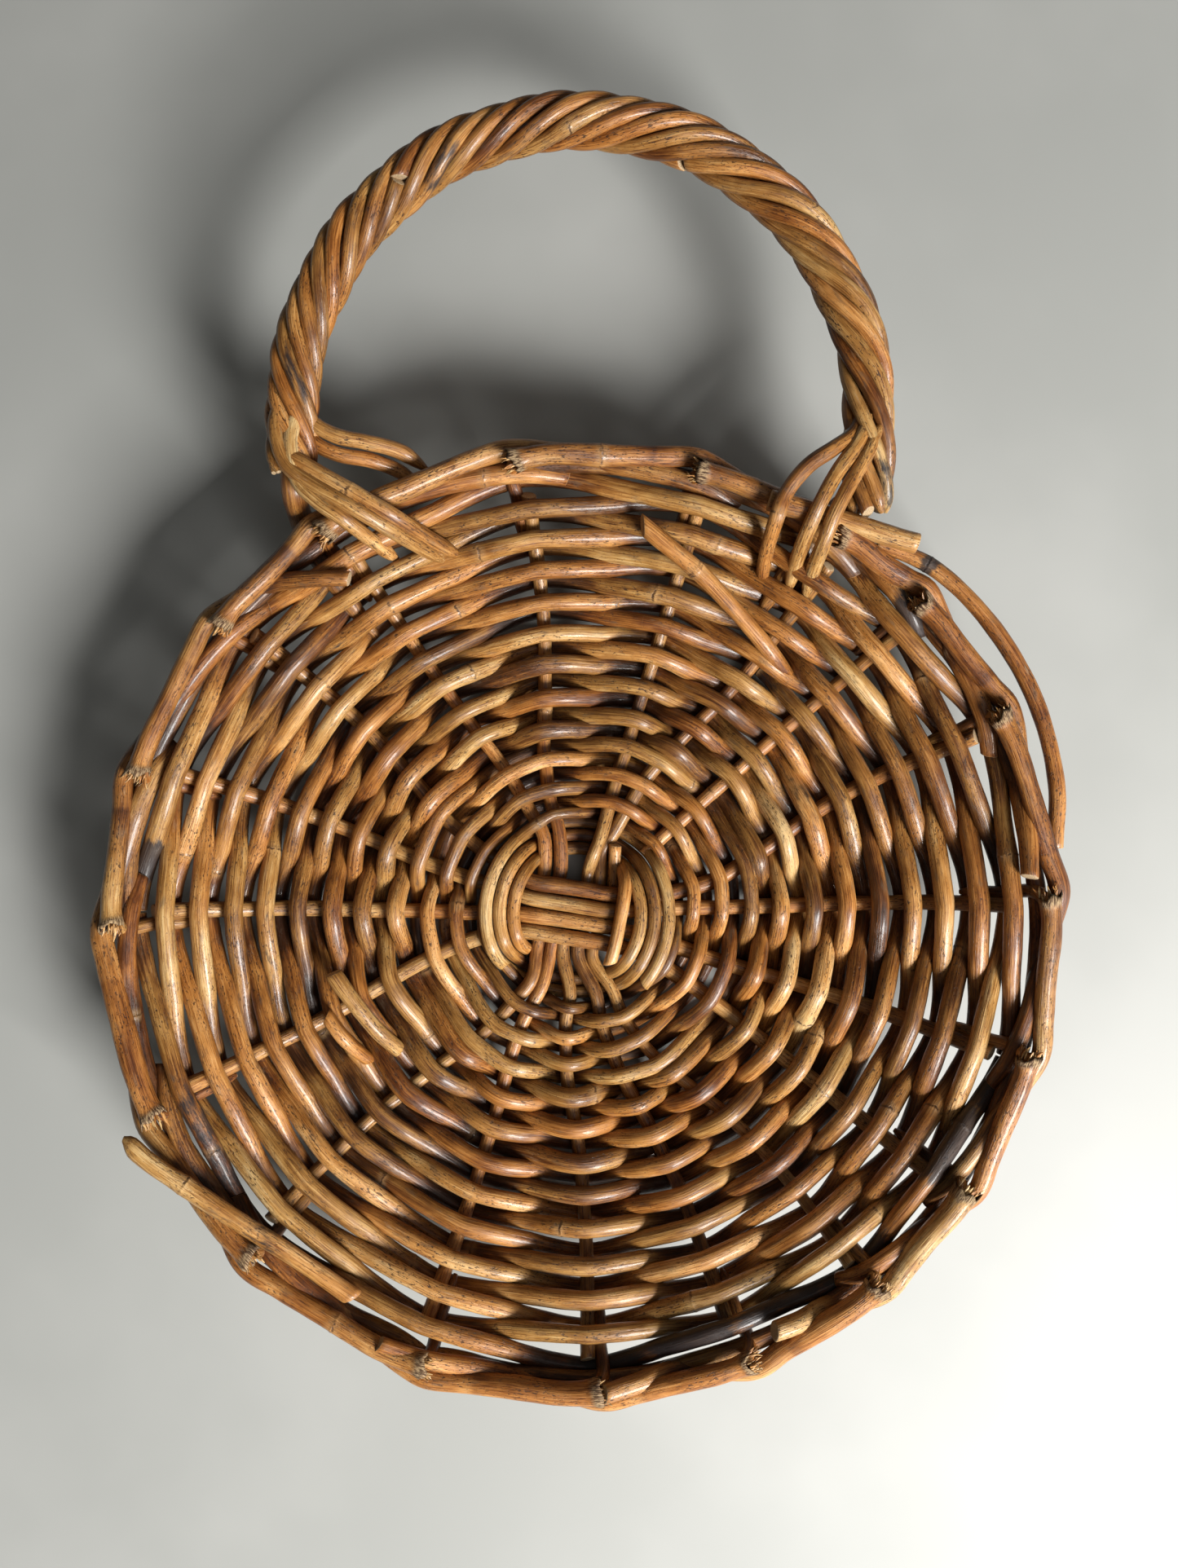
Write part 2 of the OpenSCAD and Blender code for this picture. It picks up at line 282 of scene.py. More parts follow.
class Bundle:
    """The canes of one piece, gathered into one mesh."""

    def __init__(self, seed):
        self.dice = random.Random(seed)
        self.points = []
        self.faces = []
        self.notes = {k: [] for k in ("place", "tone", "stain", "cut", "node", "torn")}
        self.strips = []
        self.count = 0

    def cane(self, path, r, tone, sides=16, step=2.2, taper=(0, 0), stains_and_shade=(), nodes=None,
             cut=(True, True), squash=0.03, uneven=1.0, flare=0.0, slant=0.0, torn=0.0,
             drift=0.0, floor=None, narrow=0.35):
        """One round cane along a path.

        Taper gives how long each end narrows for, and narrow the share that is left there.
        Squash, uneven, flare, slant and torn shape it: out of round, uneven along its length,
        swollen at its start, with slanting cuts, and with a ragged start.
        """
        dice = self.dice
        path = np.array(path, float)
        total = lengths(path)[-1]
        if nodes is None:
            nodes = []
            at = dice.uniform(*FIRST_JOINT)
            while at < total - 4:
                nodes.append(at)
                at += dice.uniform(*JOINT_GAP)
        wanted = list(np.linspace(0, total, max(3, int(total / step) + 1)))
        for at in nodes:
            close_by = [at + d for d in (-1.5, -0.7, -0.25, 0.25, 0.7, 1.5)]
            wanted += [place for place in close_by if 0 < place < total]
        wanted = np.array(sorted(wanted))
        wanted = wanted[np.concatenate([[True], np.diff(wanted) > 0.18])]
        middle = at_lengths(path, wanted)
        t, n, b = carried_frames(middle)
        rings = len(wanted)
        phases = [dice.uniform(0, 6.28) for _ in range(5)]
        width = np.full(rings, float(r))
        width *= 1 + uneven * (0.028 * np.sin(wanted / 13.1 + phases[0])
                               + 0.020 * np.sin(wanted / 5.3 + phases[1])
                               + 0.010 * np.sin(wanted / 2.1 + phases[2]))
        near = np.full(rings, NO_JOINT)
        for at in nodes:
            d = wanted - at
            width += r * (0.05 * np.exp(-(d / 0.55) ** 2) + 0.045 * np.exp(-(d / 6) ** 2))
            near = np.where(np.abs(d) < np.abs(near), d, near)
        for side, length in enumerate(taper):
            if length:
                d = wanted if side == 0 else total - wanted
                share = np.clip(d / length, 0, 1)
                width *= narrow + (1 - narrow) * np.sin(share * math.pi / 2) ** 0.8
        if flare:
            width *= 1 + flare * np.exp(-(wanted / 5.0) ** 2)
        around = np.arange(sides) * 2 * math.pi / sides
        lump = 1 + squash * np.cos(2 * around + phases[3]) + 0.012 * np.cos(3 * around + phases[4])
        x = width[:, None] * (np.cos(around) * lump)[None]
        y = width[:, None] * (np.sin(around) * lump)[None]
        shift = np.zeros((rings, sides))
        if slant:
            reach = 2.2 * r
            ends = np.exp(-(wanted / reach) ** 2) - np.exp(-((total - wanted) / reach) ** 2)
            shift += slant * ends[:, None] * y
        if torn:
            ragged = np.array([dice.uniform(-1, 0.4) for _ in range(sides)])
            ragged = ragged + 0.4 * np.roll(ragged, 1)
            shift -= torn * np.exp(-(wanted / 3.0) ** 2)[:, None] * ragged[None]
        body = (middle[:, None] + x[..., None] * n[:, None] + y[..., None] * b[:, None]
                + shift[..., None] * t[:, None])
        if floor is not None:
            body[..., 2] = np.maximum(body[..., 2], floor)
        offset = np.array([dice.uniform(0, 4000), dice.uniform(0, 400), dice.uniform(0, 400)])
        place = np.stack([np.broadcast_to(wanted[:, None], x.shape), x, y], -1) + offset
        first = self.count
        # Painted shade: the tone is darkened where the cane dips below the spokes' middle line
        radius = np.hypot(middle[:, 0], middle[:, 1])
        sunk = np.interp(radius, DISH[:, 1], DISH[:, 2]) - middle[:, 2]
        painted_shade = PAINTED_SHADE * np.clip(sunk / PAINTED_SHADE_DEPTH, 0, 1) * (radius < PAINTED_SHADE_R)
        notes = {
            "place": place.reshape(-1, 3),
            "tone": np.repeat(tone + drift * np.sin(wanted / 37 + phases[0]) - painted_shade, sides),
            "stain": np.repeat(self.stain_and_shade_depth(wanted, stains_and_shade), sides),
            "cut": np.zeros(rings * sides),
            "node": np.repeat(near, sides),
            "torn": np.repeat(np.exp(-(wanted / 4.5) ** 2) * (1.0 if torn else 0.0), sides),
        }
        self.add(body.reshape(-1, 3), notes)
        i, j = np.meshgrid(np.arange(rings - 1), np.arange(sides), indexing="ij")
        k = (j + 1) % sides
        this, following = i * sides, (i + 1) * sides
        quads = np.stack([this + j, this + k, following + k, following + j], -1)
        self.faces.append(first + quads.reshape(-1, 4))
        self.strips.append(("strip", wanted, sides, 2 * math.pi * r))
        for end in (0, 1):
            row = 0 if end == 0 else rings - 1
            self.close(first + row * sides, body[row], t[row] * (1 if end else -1), sides,
                       width[row], tone, place[row], end, cut[end], torn and end == 0)

    def stain_and_shade_depth(self, along, stains_and_shade):
        """How dark a cane is along its length from stains and painted shade; each is a place, a
        reach and a depth.
        """
        depth = np.zeros(len(along))
        for at, reach, deep in stains_and_shade:
            depth = np.maximum(depth, deep * np.clip(1.5 - np.abs(along - at) / reach, 0, 1))
        return depth

    def add(self, points, notes):
        """Adds points to the mesh, with what the finish needs to know about each."""
        self.points.append(points)
        for key, values in notes.items():
            self.notes[key].append(values)
        self.count += len(points)

    def close(self, rim, ring, out, sides, width, tone, place, end, fresh, hollow):
        """Closes an end of a cane with a slightly rounded face, or a hollow if it is torn."""
        axis = ring.mean(0)
        *steps, (_, depth) = TORN_END if hollow else ROUNDED_END
        first = self.count
        rows = [axis + (ring - axis) * share + out * lift for share, lift in steps]
        points = np.vstack(rows + [(axis + out * depth)[None]])
        centre = place.mean(0)
        places = [centre + (place - centre) * share for share, _ in steps]
        places = np.vstack(places + [centre[None]])
        many = len(points)
        self.add(points, {
            "place": places,
            "tone": np.full(many, tone),
            "stain": np.full(many, 0.0),
            "cut": np.full(many, 1.0 if fresh else 0.0),
            "node": np.full(many, NO_JOINT),
            "torn": np.full(many, 1.6 if hollow else 0.0),
        })
        quads = []
        for row in range(2):
            a = rim if row == 0 else first
            c = first if row == 0 else first + sides
            for j in range(sides):
                k = (j + 1) % sides
                quads.append([a + j, a + k, c + k, c + j] if end else [a + k, a + j, c + j, c + k])
        self.faces.append(np.array(quads))
        tip = first + 2 * sides
        last = first + sides
        fan = [[last + j, last + (j + 1) % sides, tip, tip] if end
               else [last + (j + 1) % sides, last + j, tip, tip] for j in range(sides)]
        self.faces.append(np.array(fan))
        self.strips.append(("cap", end, sides, 2.2 * width))

    def bake_map(self):
        """A flat layout of every cane, cut into rows, for each corner of each face."""
        area = sum(s[1][-1] * s[3] if s[0] == "strip" else s[3] ** 2 for s in self.strips)
        row_length = math.sqrt(area) * 1.04
        gap = row_length / 200
        x, y, tall = gap, gap, 0.0
        corners = []
        for kind, a, sides, size in self.strips:
            if kind == "strip":
                u = np.zeros((len(a) - 1, 2))
                v = np.zeros(len(a) - 1)
                for i in range(len(a) - 1):
                    step = a[i + 1] - a[i]
                    if x + step > row_length - gap or size > tall + 1e-9 and tall and x > gap * 2:
                        x, y, tall = gap, y + tall + gap, 0.0
                    tall = max(tall, size)
                    u[i] = x, x + step
                    v[i] = y
                    x += step
                x += gap
                j = np.arange(sides)
                lo = v[:, None] + size * j[None] / sides
                hi = v[:, None] + size * (j[None] + 1) / sides
                u0 = np.broadcast_to(u[:, :1], lo.shape)
                u1 = np.broadcast_to(u[:, 1:], lo.shape)
                quad = np.stack([np.stack([u0, lo], -1), np.stack([u0, hi], -1),
                                 np.stack([u1, hi], -1), np.stack([u1, lo], -1)], -2)
                corners.append(quad.reshape(-1, 2))
            else:
                if x + size > row_length - gap or size > tall:
                    x, y, tall = gap, y + tall + gap, 0.0
                    tall = size
                turn = np.arange(sides + 1) * 2 * math.pi / sides * (1 if a else -1)
                middle = np.array([x + size / 2, y + size / 2])
                spokes = np.stack([np.cos(turn), np.sin(turn)], -1) * size / 2
                for outer, inner in ((1.0, 0.8), (0.8, 0.45)):
                    for j in range(sides):
                        k = j + 1
                        ring = [(outer, j), (outer, k), (inner, k), (inner, j)]
                        if not a:
                            ring = [(outer, k), (outer, j), (inner, j), (inner, k)]
                        corners.append(np.array([middle + share * spokes[m] for share, m in ring]))
                for j in range(sides):
                    k = j + 1
                    pair = (j, k) if a else (k, j)
                    corners.append(np.array([middle + 0.45 * spokes[pair[0]],
                                             middle + 0.45 * spokes[pair[1]], middle]))
                x += size + gap
        return np.vstack(corners) / max(row_length, y + tall + gap)

    def piece(self, name, finish, slot, *nodes):
        """Makes the mesh and fixes it in the basket in place of its CAD nodes."""
        points = np.vstack(self.points) * MM
        mesh = bpy.data.meshes.new(name)
        faces = []
        for block in self.faces:
            for face in block.tolist():
                faces.append(face if face[2] != face[3] else face[:3])
        mesh.from_pydata(points.tolist(), [], faces)
        flat = mesh.uv_layers.new(name="OFBake")
        flat.data.foreach_set("uv", self.bake_map().astype(np.float32).ravel())
        for key, values in self.notes.items():
            kind = "FLOAT_VECTOR" if key == "place" else "FLOAT"
            note = mesh.attributes.new("cane_" + key, kind, "POINT")
            field = "vector" if key == "place" else "value"
            data = np.vstack(values) if key == "place" else np.concatenate(values)
            note.data.foreach_set(field, data.astype(np.float32).ravel())
        mesh.materials.append(finish)
        mesh.polygons.foreach_set("use_smooth", [True] * len(mesh.polygons))
        mesh.update()
        made = bpy.data.objects.new(name, mesh)
        bpy.context.scene.collection.objects.link(made)
        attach(made, "root")
        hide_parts(*nodes)
        return made


# ---------------------------------------------------------------- finishes

class Link:
    """A value in a material, used in ordinary sums."""

    def __init__(self, finish, socket):
        self.finish = finish
        self.socket = socket

    def math(self, operation, *values):
        return self.finish.make("ShaderNodeMath", {"operation": operation},
                                dict(enumerate((self,) + values)))

    def __add__(self, other):
        return self.math("ADD", other)

    __radd__ = __add__

    def __sub__(self, other):
        return self.math("SUBTRACT", other)

    def __rsub__(self, other):
        return self.finish.make("ShaderNodeMath", {"operation": "SUBTRACT"}, {0: other, 1: self})

    def __mul__(self, other):
        return self.math("MULTIPLY", other)

    __rmul__ = __mul__

    def __abs__(self):
        return self.math("ABSOLUTE")


class Finish:
    """A material, built from nodes."""

    def __init__(self, name):
        self.material = bpy.data.materials.new(name)
        self.material.use_nodes = True
        self.tree = self.material.node_tree
        self.shader = self.tree.nodes["Principled BSDF"]

    def make(self, kind, settings=None, inputs=None, output=0):
        """A node of any kind, with its settings and what goes into it."""
        node = self.tree.nodes.new(kind)
        for key, value in (settings or {}).items():
            if key == "stops":
                stops = node.color_ramp.elements
                while len(stops) < len(value):
                    stops.new(0.5)
                for stop, (at, colour) in zip(stops, value):
                    stop.position = at
                    stop.color = (*colour, 1)
            else:
                setattr(node, key, value)
        for key, value in (inputs or {}).items():
            self.put(node, key, value)
        return Link(self, node.outputs[output])

    def put(self, node, key, value):
        if isinstance(value, Link):
            self.tree.links.new(value.socket, node.inputs[key])
        elif value is not None:
            if isinstance(value, tuple) and len(value) == 3 and node.inputs[key].type == "RGBA":
                value = (*value, 1)
            node.inputs[key].default_value = value

    def note(self, name, output="Fac"):
        """What the mesh says about this place on a cane."""
        return self.make("ShaderNodeAttribute", {"attribute_name": "cane_" + name}, {}, output)

    def noise(self, place, along, across, detail=2.0, roughness=0.5):
        """Noise drawn out along the cane; the scales are per millimetre."""
        stretched = self.make("ShaderNodeVectorMath", {"operation": "MULTIPLY"},
                              {0: place, 1: (along, across, across)})
        return self.make("ShaderNodeTexNoise", {"noise_dimensions": "3D"},
                         {"Vector": stretched, "Scale": 1.0, "Detail": detail,
                          "Roughness": roughness})

    def band(self, value, low, high):
        """0 up to low, 1 from high on."""
        return self.make("ShaderNodeMapRange", {"interpolation_type": "SMOOTHSTEP"},
                         {"Value": value, "From Min": low, "From Max": high})

    def mix(self, factor, a, b, blend="MIX"):
        return self.make("ShaderNodeMix", {"data_type": "RGBA", "blend_type": blend},
                         {"Factor": factor, 6: a, 7: b}, 2)

    def ramp(self, value, stops):
        return self.make("ShaderNodeValToRGB", {"stops": stops}, {0: value})

    def set(self, **sockets):
        """Sets the shader's own sockets, with spaces written as underscores."""
        for key, value in sockets.items():
            self.put(self.shader, key.replace("_", " "), value)


def varnished_cane(name, warmth=0.5, gloss=0.3):
    """Varnished rattan: long grain, flecks, dark joints, stains, painted shade and pale cut ends.
    """
    f = Finish(name)
    place = f.note("place", "Vector")
    tone = f.note("tone")
    stain = f.note("stain")
    cut = f.note("cut")
    node = f.note("node")
    torn = f.note("torn")

    drift = f.noise(place, 0.011, 0.03, 2)
    cloud = f.noise(place, 0.05, 0.14, 3, 0.6)
    grain = f.noise(place, 0.035, 1.3, 4, 0.65)
    threads = f.noise(place, 0.07, 3.2, 3)
    fleck = f.noise(place, 0.5, 1.5, 2, 0.6)
    fleck_zone = f.noise(place, 0.035, 0.1, 1)
    smudge = f.noise(place, 0.11, 0.4, 3, 0.6)

    hue = f.noise(place, 0.006, 0.02, 1)
    shade = tone + (drift - 0.5) * 0.7 + (cloud - 0.5) * 1.05 + (grain - 0.5) * 0.9
    colour = f.ramp(shade, [
        (0.00, (0.040, 0.014, 0.005)),
        (0.22, (0.140, 0.048, 0.012)),
        (0.45, (0.345, 0.140 + 0.02 * warmth, 0.036)),
        (0.66, (0.510, 0.250 + 0.02 * warmth, 0.080)),
        (0.84, (0.660, 0.400, 0.165)),
        (1.00, (0.760, 0.520, 0.260)),
    ])
    tint = f.mix(f.band(hue, 0.40, 0.60), (1.0, 0.84, 0.66), (0.92, 1.0, 1.0))
    colour = f.mix(0.85, colour, tint, "MULTIPLY")
    lines = f.band(threads, 0.50, 0.68) * 0.85
    colour = f.mix(lines, colour, (0.36, 0.23, 0.15), "MULTIPLY")
    grey = f.band(smudge, 0.54, 0.74) * 0.5
    colour = f.mix(grey, colour, (0.120, 0.085, 0.055))
    flecks = f.band(fleck, 0.585, 0.64) * f.band(fleck_zone, 0.36, 0.58) * 0.85
    colour = f.mix(flecks, colour, (0.035, 0.013, 0.006))
    pepper = f.band(f.noise(place, 1.1, 2.6, 1), 0.66, 0.72) * 0.7
    colour = f.mix(pepper, colour, (0.040, 0.016, 0.007))
    bloom = f.band(f.noise(place, 0.07, 0.35, 4, 0.7), 0.62, 0.78) * 0.4
    colour = f.mix(bloom, colour, (0.600, 0.420, 0.250))

    waver = (cloud - 0.5) * 4.0 + (smudge - 0.5) * 2.5
    off = abs(node + waver)
    pale_band = f.band(off, 4.0, 0.8) * 0.22
    colour = f.mix(pale_band, colour, (0.60, 0.38, 0.17))
    dark_line = f.band(off, 0.7, 0.2) * f.band(smudge, 0.38, 0.60) * 0.85
    colour = f.mix(dark_line, colour, (0.050, 0.022, 0.012))

    # Real stains and the painted rim shade both darken the colour here towards blue-black
    stain_and_shade_mix = f.band(stain + (smudge - 0.5) * 1.1, 0.38, 0.72) * 0.92
    colour = f.mix(stain_and_shade_mix, colour, (0.020, 0.016, 0.017))

    pores = f.make("ShaderNodeTexVoronoi", {"feature": "F1"},
                   {"Vector": place, "Scale": 2.6})
    pith = f.mix(f.band(pores, 0.42, 0.15), (0.50, 0.37, 0.22), (0.15, 0.085, 0.040))
    colour = f.mix(cut * 0.9, colour, pith)
    split = f.noise(place, 0.12, 2.2, 3, 0.6)
    fibre = f.mix(f.band(split, 0.42, 0.58), (0.44, 0.31, 0.17), (0.045, 0.022, 0.011))
    colour = f.mix(f.band(torn, 0.12, 0.55) * 0.85, colour, fibre)
    # The hollow of a torn end is painted near black: painted shade inside the hole
    hollow = f.band(torn, 1.1, 1.5)
    colour = f.mix(hollow, colour, (0.016, 0.008, 0.005))

    ragged = f.band(torn, 0.1, 0.6)
    rough = gloss + (grain - 0.5) * 0.35 + (cloud - 0.5) * 0.25 + flecks * 0.15 + stain_and_shade_mix * 0.08
    rough = rough + cut * 0.45 + ragged * 0.3
    height = grain * 0.7 + threads * 0.7 - flecks * 0.35 - dark_line * 0.5
    height = height + ragged * split * 2.0 + cloud * 0.6
    bump = f.make("ShaderNodeBump", {}, {"Strength": 1.0, "Distance": 0.00036, "Height": height})
    f.set(Base_Color=colour, Roughness=rough, Normal=bump)
    f.set(Coat_Weight=(1 - cut) * (1 - ragged) * 0.30, Coat_Roughness=0.16, Coat_IOR=1.45,
          IOR=1.45)
    return f.material


def pale_floor():
    """A plain, slightly mottled pale table top."""
    f = Finish("pale_table")
    place = f.make("ShaderNodeTexCoord", {}, {}, "Object")
    cloud = f.make("ShaderNodeTexNoise", {}, {"Vector": place, "Scale": 5.0, "Detail": 4.0})
    colour = f.mix(f.band(cloud, 0.35, 0.70), (0.365, 0.372, 0.355), (0.425, 0.430, 0.412))
    f.set(Base_Color=colour, Roughness=0.55)
    return f.material


# ---------------------------------------------------------------- spokes

def arm(angle, end):
    """A spoke's course from the cross to its end under the border."""
    stops = [JOIN_R, 50, 62, 76, 92, 110, 130, 150, 170, end]
    return [dish_point(spoke_angle(angle, s), s) for s in stops]


def wander(points, dice, amount=0.5):
    """Moves the points a little, as no cane is quite straight."""
    return [[p[0] + dice.uniform(-amount, amount), p[1] + dice.uniform(-amount, amount), p[2]]
            for p in points]


def spoke_piece(name, node, points, seed, tone, r=STICK_R, **how):
    """One stick of the cross, as a finished piece."""
    bundle = Bundle(seed)
    points = wander(points, bundle.dice, 0.3)
    bundle.cane(flowing(points), r, tone, sides=16, step=2.2, slant=0.15, **how)
    return bundle.piece(name, spoke_finish, "spoke_cane", node)


def make_spokes():
    dice = random.Random(11)
    end = {n: EDGE_S - 3 - dice.uniform(0, 5) for n in SPOKES}
    cross_tones = [0.50, 0.60, 0.52, 0.55]
    for n, ends in enumerate(CROSS_ENDS):
        y = (1.5 - n) * ROD_PITCH
        middle = [turned(x, y, OVER_Z) for x in (-CROSS_HALF, -7, 7, CROSS_HALF)]
        points = arm(ends[0], end[ends[0]])[::-1] + middle + arm(ends[1], end[ends[1]])
        spoke_piece(f"cross_stick_{n + 1}", f"cross_rod_{n + 1}", points, 20 + n, cross_tones[n],
                    CROSS_STICK_R)
    # Two upright sticks bend round the cut stub on their way out
    past_stub = {
        2: [turned(6.6, 27, UNDER_Z + 4.6), turned(8.4, 36, UNDER_Z + 4.0)],
        3: [turned(10.3, 28, UNDER_Z - 0.6), turned(13.8, 37.5, UNDER_Z + 0.4)],
    }
    for n, ends in enumerate(UPRIGHT_ENDS):
        low, high = UPRIGHT_X[n]
        middle = [turned(low, -CROSS_HALF, UNDER_Z), turned(low, -9, UNDER_Z),
                  turned(high, 9, UNDER_Z), turned(high, CROSS_HALF, UNDER_Z)]
        middle += past_stub.get(n, [])
        upper = arm(ends[1], end[ends[1]])
        points = arm(ends[0], end[ends[0]])[::-1] + middle + upper[1 if n in past_stub else 0:]
        spoke_piece(f"upright_stick_{n + 1}", f"upright_rod_{n + 1}", points, 30 + n,
                    dice.uniform(0.42, 0.62), STICK_R * 1.05)
    low, high = UPRIGHT_X[4]
    middle = [turned(low, -CROSS_HALF, UNDER_Z), turned(low, -9, UNDER_Z),
              turned(high, 9, UNDER_Z), turned(high - 0.6, CROSS_HALF + 1, UNDER_Z + 1),
              turned(high - 1.9, 32.5, UNDER_Z + 3.6)]
    spoke_piece("cut_stub", "stub_rod", arm(STUB_END, end[STUB_END])[::-1] + middle, 36, 0.70,
                STICK_R * 0.95, nodes=[40])
    spoke_piece("extra_stick", "inserted_stick", arm(EXTRA_END, end[EXTRA_END]), 37, 0.55)


# ---------------------------------------------------------------- weave

def crossings(strand):
    """The side of each spoke that a strand passes, +1 above and -1 below."""
    if strand < PAIRED_STRANDS:
        group = {a: i for i, pair in enumerate(PAIRS) for a in pair}
        return [1 if (group[a] + strand) % 2 else -1 for a in SPOKES]
    return [1 if (i + strand) % 2 == 0 else -1 for i in range(len(SPOKES))]


def strand_path(strand, s0, r, dice):
    """One turn of a weaving cane, over and under the spokes, and where its crossings are."""
    sides = crossings(strand)
    many = len(SPOKES)
    jog = [dice.uniform(-0.8, 0.8) for _ in range(many)]
    angles = [spoke_angle(a, s0) for a in SPOKES]
    lift = STICK_R + r
    out = []
    marks = []
    for i in range(many):
        k = (i + 1) % many
        gap = clockwise(angles[i], angles[k])
        steps = max(6, int(gap * s0 / 60))
        marks.append(len(out))
        for step in range(steps):
            share = step / steps
            ease = (1 - math.cos(math.pi * share)) / 2
            h = lift * (sides[i] + (sides[k] - sides[i]) * ease)
            if sides[i] == sides[k]:
                h += lift * 0.06 * sides[i] * math.sin(math.pi * share)
            s = s0 + jog[i] + (jog[k] - jog[i]) * ease
            bulge = (0.9 * abs(h) / lift - 0.45) * min(1.0, s0 / 90)
            radius, z = above(s + bulge, h)
            chord = 1 - 0.45 * (1 - math.cos(math.radians(gap / 2))) * math.sin(math.pi * share)
            out.append(polar(radius * chord, angles[i] - gap * share, z))
    return np.array(out), marks, sides


def round_strands(n, dice):
    """The canes of a round: the number of each, how far out it lies, and its radius."""
    if n <= len(INNER_STRANDS):
        before = sum(len(row) for row in INNER_STRANDS[:n - 1])
        return [(before + i, s, r) for i, (s, r) in enumerate(INNER_STRANDS[n - 1])]
    first = PAIRED_STRANDS + 2 * (n - 1 - len(INNER_STRANDS))
    return [(first + i, OUTER_S + (first + i - PAIRED_STRANDS) * PITCH / 2,
             dice.uniform(3.85, 4.1)) for i in (0, 1)]


# Where the outermost cane is painted dark as shade along the inside of the rim: direction, half
# the width in degrees, and depth
RIM_SHADE_PLACES = [(172, 3, 1.0), (207, 5, 0.6), (215, 5, 0.6), (274, 6, 0.8), (285, 7, 0.9),
               (297, 7, 0.8), (309, 7, 0.9), (329, 6, 1.0), (341, 7, 1.0)]


def rim_shade_marks(run):
    """The painted shade of a stretch of the outermost cane."""
    along = lengths(run)
    heading = np.degrees(np.arctan2(run[:, 1], run[:, 0]))
    stains_and_shade = []
    for angle, half, depth in RIM_SHADE_PLACES:
        off = np.abs((heading - angle + 180) % 360 - 180)
        if off.min() < 1:
            stains_and_shade.append((along[off.argmin()], math.radians(half) * KNUCKLE_R, depth))
    return stains_and_shade


def make_round(n):
    """A round: canes side by side that take turns above and below the spokes."""
    bundle = Bundle(100 + n)
    dice = bundle.dice
    for strand, s0, r in round_strands(n, dice):
        path, marks, sides = strand_path(strand, s0, r, dice)
        hidden = [i for i in range(len(SPOKES)) if sides[i] < 0]
        cuts = sorted(dice.sample(hidden, 3 if strand > 9 else 2))
        closed = np.vstack([path, path])
        for c, start in enumerate(cuts):
            stop = cuts[(c + 1) % len(cuts)]
            a = marks[start]
            b = marks[stop] if stop > start else marks[stop] + len(path)
            run = softened(closed[a:b + 1], 1)
            long = lengths(run)[-1]
            run = at_lengths(run, np.linspace(1.0, long - 1.0, int(long / 1.5)))
            tone = min(0.8, max(0.2, dice.gauss(0.52, 0.12)))
            stains_and_shade = []
            if dice.random() < 0.3:
                stains_and_shade.append((dice.uniform(0, long), dice.uniform(8, 30), dice.uniform(0.3, 0.6)))
            # The outermost cane gets painted shade along the inside of the rim in place of stains
            if s0 >= OUTERMOST_S:
                stains_and_shade = rim_shade_marks(run)
            bundle.cane(run, r * dice.uniform(0.94, 1.05), tone, sides=16, step=2.0,
                        stains_and_shade=stains_and_shade, drift=0.08, squash=0.045, floor=0.0)
    for extra in ROUND_EXTRAS.get(n, []):
        extra(bundle)
    return bundle.piece(f"woven_round_{n}", weaver_finish, "weaver_cane", f"weave_round_{n}")


def loose_weaver(bundle):
    """The end of a weaver that pokes out over the rim."""
    points = [polar(199.5, 205.0, 71), polar(195, 208.5, 70.5), polar(188.6, 213.4, 68),
              polar(181.0, 221.6, 65), polar(177.3, 228.5, 62.5), polar(177.6, 238.5, 59.5)]
    bundle.cane(flowing(points), 3.6, 0.62, taper=(6, 0), nodes=[30], slant=0.5,
                stains_and_shade=[(66, 10, 0.55)])


def filling_canes(bundle):
    """The tucked canes that fill the corner between the weave and the border."""
    dice = bundle.dice
    for start in (10, 128, 250):
        points = [polar(188.2 + dice.uniform(-1.2, 1.0), start + k * 12.2,
                        52.5 + dice.uniform(-1.5, 1.0)) for k in range(11)]
        bundle.cane(flowing(points, 8), 3.7, dice.uniform(0.40, 0.55), taper=(20, 20), drift=0.06)


def slanting_rod(bundle):
    """A loose end that lies slanting over the weave, with a swollen joint."""
    points = [on_weave(25.5, 162.5, 17), on_weave(37, 153.8, 18), on_weave(48, 145.5, 17.5),
              on_weave(64, 130.5, 15.5), on_weave(81, 113, 9.5), on_weave(88, 105, 3)]
    bundle.cane(flowing(points), 3.7, 0.50, nodes=[28, 29.2], slant=0.9, drift=0.06)


def broken_stubs(bundle):
    """Two short ends of broken canes that stick up out of the weave."""
    first = [on_weave(-106.5, -25, 17), on_weave(-99, -36.5, 16), on_weave(-89, -51, 11),
             on_weave(-81, -61, 3)]
    second = [on_weave(-109.5, -43.5, 13.5), on_weave(-103, -53, 12.5), on_weave(-94, -65, 3)]
    bundle.cane(flowing(first), 3.6, 0.60, nodes=[], slant=-0.2)
    bundle.cane(flowing(second), 3.0, 0.48, nodes=[], slant=0.6)


ROUND_EXTRAS = {6: [broken_stubs], 8: [slanting_rod], 11: [loose_weaver, filling_canes]}


